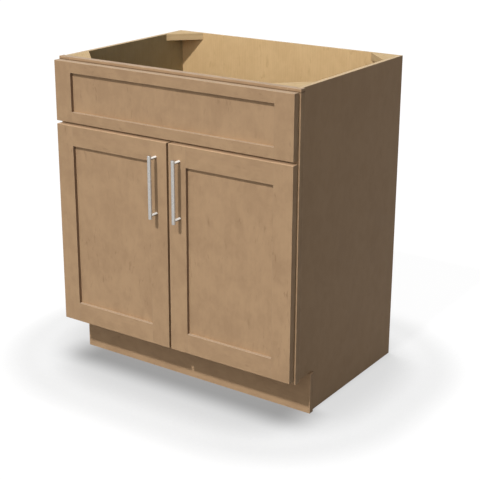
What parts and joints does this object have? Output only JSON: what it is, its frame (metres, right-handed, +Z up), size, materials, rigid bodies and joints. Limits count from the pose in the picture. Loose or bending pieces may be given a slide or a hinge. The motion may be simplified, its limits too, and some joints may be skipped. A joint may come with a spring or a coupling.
{
  "type": "vanity cabinet",
  "caption": "Framed vanity sink base with an open top, a false drawer front, recessed-panel doors on cup hinges, bar pulls and a toe space.",
  "frame": {"origin": "on the floor, under the middle of the overall box", "axes": "+Z up, +Y towards the wall behind, +X to the right as seen from the front"},
  "size_m": [0.762, 0.5888, 0.8763],
  "materials": {
    "stained_maple": "satin stained maple",
    "side_plywood": "stained maple veneer plywood",
    "maple_plywood": "clear lacquered maple plywood",
    "corner_block_wood": "sawn hardwood",
    "beech": "plain fluted beech",
    "satin_nickel": "satin nickel",
    "hinge_steel": "nickel plated",
    "zinc_screws": "zinc plated",
    "clear_rubber": "soft translucent"
  },
  "bodies": {
    "carcass": {"back_panel": "maple_plywood", "false_front_bottom_rail": "stained_maple", "false_front_left_stile": "stained_maple", "false_front_pads": "clear_rubber", "false_front_panel": "stained_maple", "false_front_right_stile": "stained_maple", "false_front_screws": "zinc_screws", "false_front_top_rail": "stained_maple", "floor_panel": "maple_plywood", "frame_bottom_rail": "stained_maple", "frame_dowels": "beech", "frame_left_stile": "stained_maple", "frame_mid_rail": "stained_maple", "frame_right_stile": "stained_maple", "frame_top_rail": "stained_maple", "front_left_corner_block": "corner_block_wood", "front_right_corner_block": "corner_block_wood", "hinge_plate_screws": "zinc_screws", "left_lower_hinge_arm": "hinge_steel", "left_side_panel": "side_plywood", "left_upper_hinge_arm": "hinge_steel", "rear_left_corner_block": "corner_block_wood", "rear_right_corner_block": "corner_block_wood", "right_lower_hinge_arm": "hinge_steel", "right_side_panel": "side_plywood", "right_upper_hinge_arm": "hinge_steel", "sub_toe_rail": "maple_plywood", "toe_kick_board": "stained_maple"},
    "left_door": {"left_door_bottom_rail": "stained_maple", "left_door_bumpers": "clear_rubber", "left_door_hinge_stile": "stained_maple", "left_door_lock_stile": "stained_maple", "left_door_panel": "stained_maple", "left_door_top_rail": "stained_maple", "left_hinge_cup_screws": "zinc_screws", "left_hinge_pins": "hinge_steel", "left_lower_hinge_cup": "hinge_steel", "left_pull_bar": "satin_nickel", "left_pull_posts": "satin_nickel", "left_pull_screws": "zinc_screws", "left_upper_hinge_cup": "hinge_steel"},
    "right_door": {"right_door_bottom_rail": "stained_maple", "right_door_bumpers": "clear_rubber", "right_door_hinge_stile": "stained_maple", "right_door_lock_stile": "stained_maple", "right_door_panel": "stained_maple", "right_door_top_rail": "stained_maple", "right_hinge_cup_screws": "zinc_screws", "right_hinge_pins": "hinge_steel", "right_lower_hinge_cup": "hinge_steel", "right_pull_bar": "satin_nickel", "right_pull_posts": "satin_nickel", "right_pull_screws": "zinc_screws", "right_upper_hinge_cup": "hinge_steel"}
  },
  "joints": [
    {"name": "left_door_hinge", "type": "hinge", "parent": "carcass", "child": "left_door", "pos_m": [-0.36975, -0.25183, 0.40975], "axis": [0, 0, -1], "range_deg": [0, 105]},
    {"name": "right_door_hinge", "type": "hinge", "parent": "carcass", "child": "right_door", "pos_m": [0.36975, -0.25183, 0.40975], "axis": [0, 0, 1], "range_deg": [0, 105]}
  ]
}
